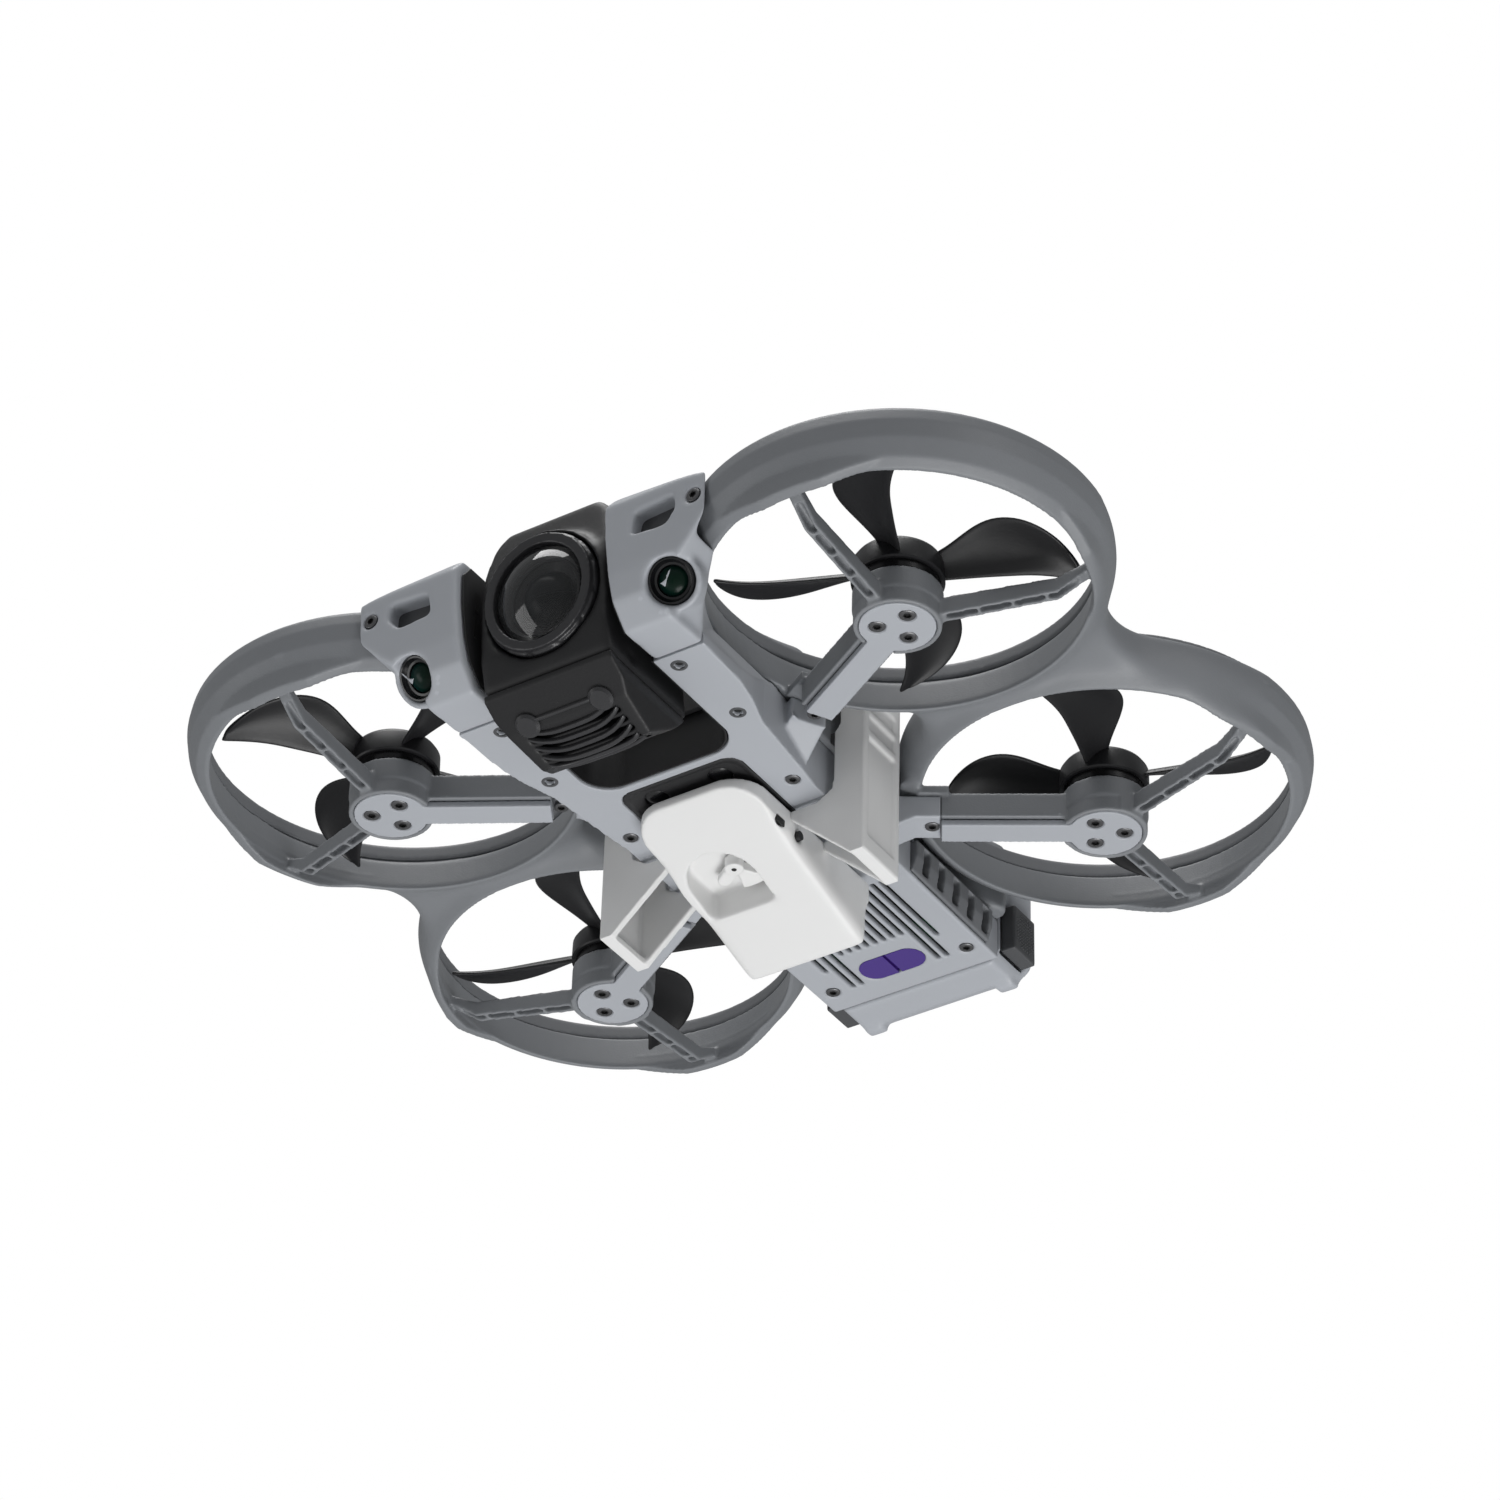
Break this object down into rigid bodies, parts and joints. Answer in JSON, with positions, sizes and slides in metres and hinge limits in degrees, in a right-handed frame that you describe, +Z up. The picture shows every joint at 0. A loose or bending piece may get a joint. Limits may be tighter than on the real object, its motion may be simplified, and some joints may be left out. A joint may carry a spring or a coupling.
{
  "type": "quadcopter drone",
  "caption": "Ducted camera quadcopter with a tilting two-lens camera in a front fork, a slide-out battery and a clip-on payload launcher on its belly.",
  "frame": {"origin": "under the centre of the four motors, on the plane of the clamp feet", "axes": "+X to the right seen from behind, -Y is the front with the camera, +Z up through the propellers"},
  "size_m": [0.246, 0.1972, 0.0613],
  "materials": {
    "body_light": "fine-grained matt cool grey",
    "guard_grey": "fine-grained matt mid grey",
    "charcoal": "matt charcoal",
    "prop_black": "semi-matt black with a satin sheen",
    "gloss_black": "gloss black",
    "lens_glass": "coated optical glass",
    "launcher_white": "satin white",
    "rubber_black": "matt rubber",
    "violet_window": "gloss violet filter",
    "steel_dark": "black oxide steel",
    "copper_wire": "enamelled copper",
    "board": "solder mask",
    "cell_wrap": "printed foil wrap",
    "alloy": "bead-blasted"
  },
  "bodies": {
    "airframe": {"belly_frame": "body_light", "top_shell": "guard_grey", "front_pod_left": "body_light", "front_pod_right": "body_light", "guard_left": "guard_grey", "guard_right": "guard_grey", "guard_rim_left": "guard_grey", "guard_rim_right": "guard_grey", "arm_cover_front_left": "body_light", "arm_cover_front_right": "body_light", "arm_cover_rear_left": "body_light", "arm_cover_rear_right": "body_light", "stator_front_left": "copper_wire", "stator_front_right": "copper_wire", "stator_rear_left": "copper_wire", "stator_rear_right": "copper_wire", "motor_bearings": "steel_dark", "hub_screws": "steel_dark", "body_screws": "steel_dark", "camera_pivots": "steel_dark", "tilt_motor": "charcoal", "bay_liner": "charcoal", "fisheye_barrels": "gloss_black", "fisheye_lenses": "gloss_black", "sensor_panel": "gloss_black", "sensor_lenses": "gloss_black", "ranging_windows": "violet_window", "heat_sink": "alloy", "vent_grilles": "guard_grey", "main_board": "board", "fan_housing": "charcoal", "launcher_shell": "launcher_white", "launcher_lid": "launcher_white", "launcher_servo": "charcoal", "clamp_left": "launcher_white", "clamp_right": "launcher_white", "grip_pads": "rubber_black"},
    "propeller_front_left": {"rotor_front_left": "steel_dark", "propeller_front_left": "prop_black"},
    "propeller_front_right": {"rotor_front_right": "steel_dark", "propeller_front_right": "prop_black"},
    "propeller_rear_left": {"rotor_rear_left": "steel_dark", "propeller_rear_left": "prop_black"},
    "propeller_rear_right": {"rotor_rear_right": "steel_dark", "propeller_rear_right": "prop_black"},
    "camera": {"camera_housing": "charcoal", "camera_chin": "charcoal", "lens_ring_front": "charcoal", "lens_ring_rear": "charcoal", "lens_dome_front": "lens_glass", "lens_dome_rear": "lens_glass", "lens_cores": "gloss_black"},
    "battery": {"battery_case": "guard_grey", "battery_cells": "cell_wrap"},
    "latch_left": {"latch_left": "charcoal"},
    "latch_right": {"latch_right": "charcoal"},
    "power_button": {"power_button": "charcoal"},
    "fan_rotor": {"fan_rotor": "prop_black"},
    "release_lever": {"release_lever": "launcher_white"},
    "launcher_button": {"launcher_button": "rubber_black"}
  },
  "joints": [
    {"name": "spin_front_left", "type": "hinge", "parent": "airframe", "child": "propeller_front_left", "pos_m": [-0.072, -0.04765, 0.0365], "axis": [0, 0, 1], "continuous": true},
    {"name": "spin_front_right", "type": "hinge", "parent": "airframe", "child": "propeller_front_right", "pos_m": [0.072, -0.04765, 0.0365], "axis": [0, 0, 1], "continuous": true},
    {"name": "spin_rear_left", "type": "hinge", "parent": "airframe", "child": "propeller_rear_left", "pos_m": [-0.072, 0.04765, 0.0365], "axis": [0, 0, 1], "continuous": true},
    {"name": "spin_rear_right", "type": "hinge", "parent": "airframe", "child": "propeller_rear_right", "pos_m": [0.072, 0.04765, 0.0365], "axis": [0, 0, 1], "continuous": true},
    {"name": "camera_tilt", "type": "hinge", "parent": "airframe", "child": "camera", "pos_m": [0, -0.0737, 0.035], "axis": [1, 0, 0], "range_deg": [-30, 90]},
    {"name": "battery_slide", "type": "slide", "parent": "airframe", "child": "battery", "axis": [0, 1, 0], "range_m": [0, 0.085]},
    {"name": "latch_left_press", "type": "slide", "parent": "battery", "child": "latch_left", "axis": [1, 0, 0], "range_m": [0, 0.0015], "stiffness_N_per_m": 600},
    {"name": "latch_right_press", "type": "slide", "parent": "battery", "child": "latch_right", "axis": [-1, 0, 0], "range_m": [0, 0.0015], "stiffness_N_per_m": 600},
    {"name": "power_button_press", "type": "slide", "parent": "battery", "child": "power_button", "axis": [0, -1, 0], "range_m": [0, 0.0006], "stiffness_N_per_m": 500},
    {"name": "fan_spin", "type": "hinge", "parent": "airframe", "child": "fan_rotor", "pos_m": [0, -0.014, 0.036], "axis": [0, 0, 1], "continuous": true},
    {"name": "release_lever_turn", "type": "hinge", "parent": "airframe", "child": "release_lever", "pos_m": [-0.0016, -0.003, 0.0105], "axis": [0, 0, 1], "range_deg": [0, 70]},
    {"name": "launcher_button_press", "type": "slide", "parent": "airframe", "child": "launcher_button", "axis": [-1, 0, 0], "range_m": [0, 0.0006], "stiffness_N_per_m": 500}
  ]
}
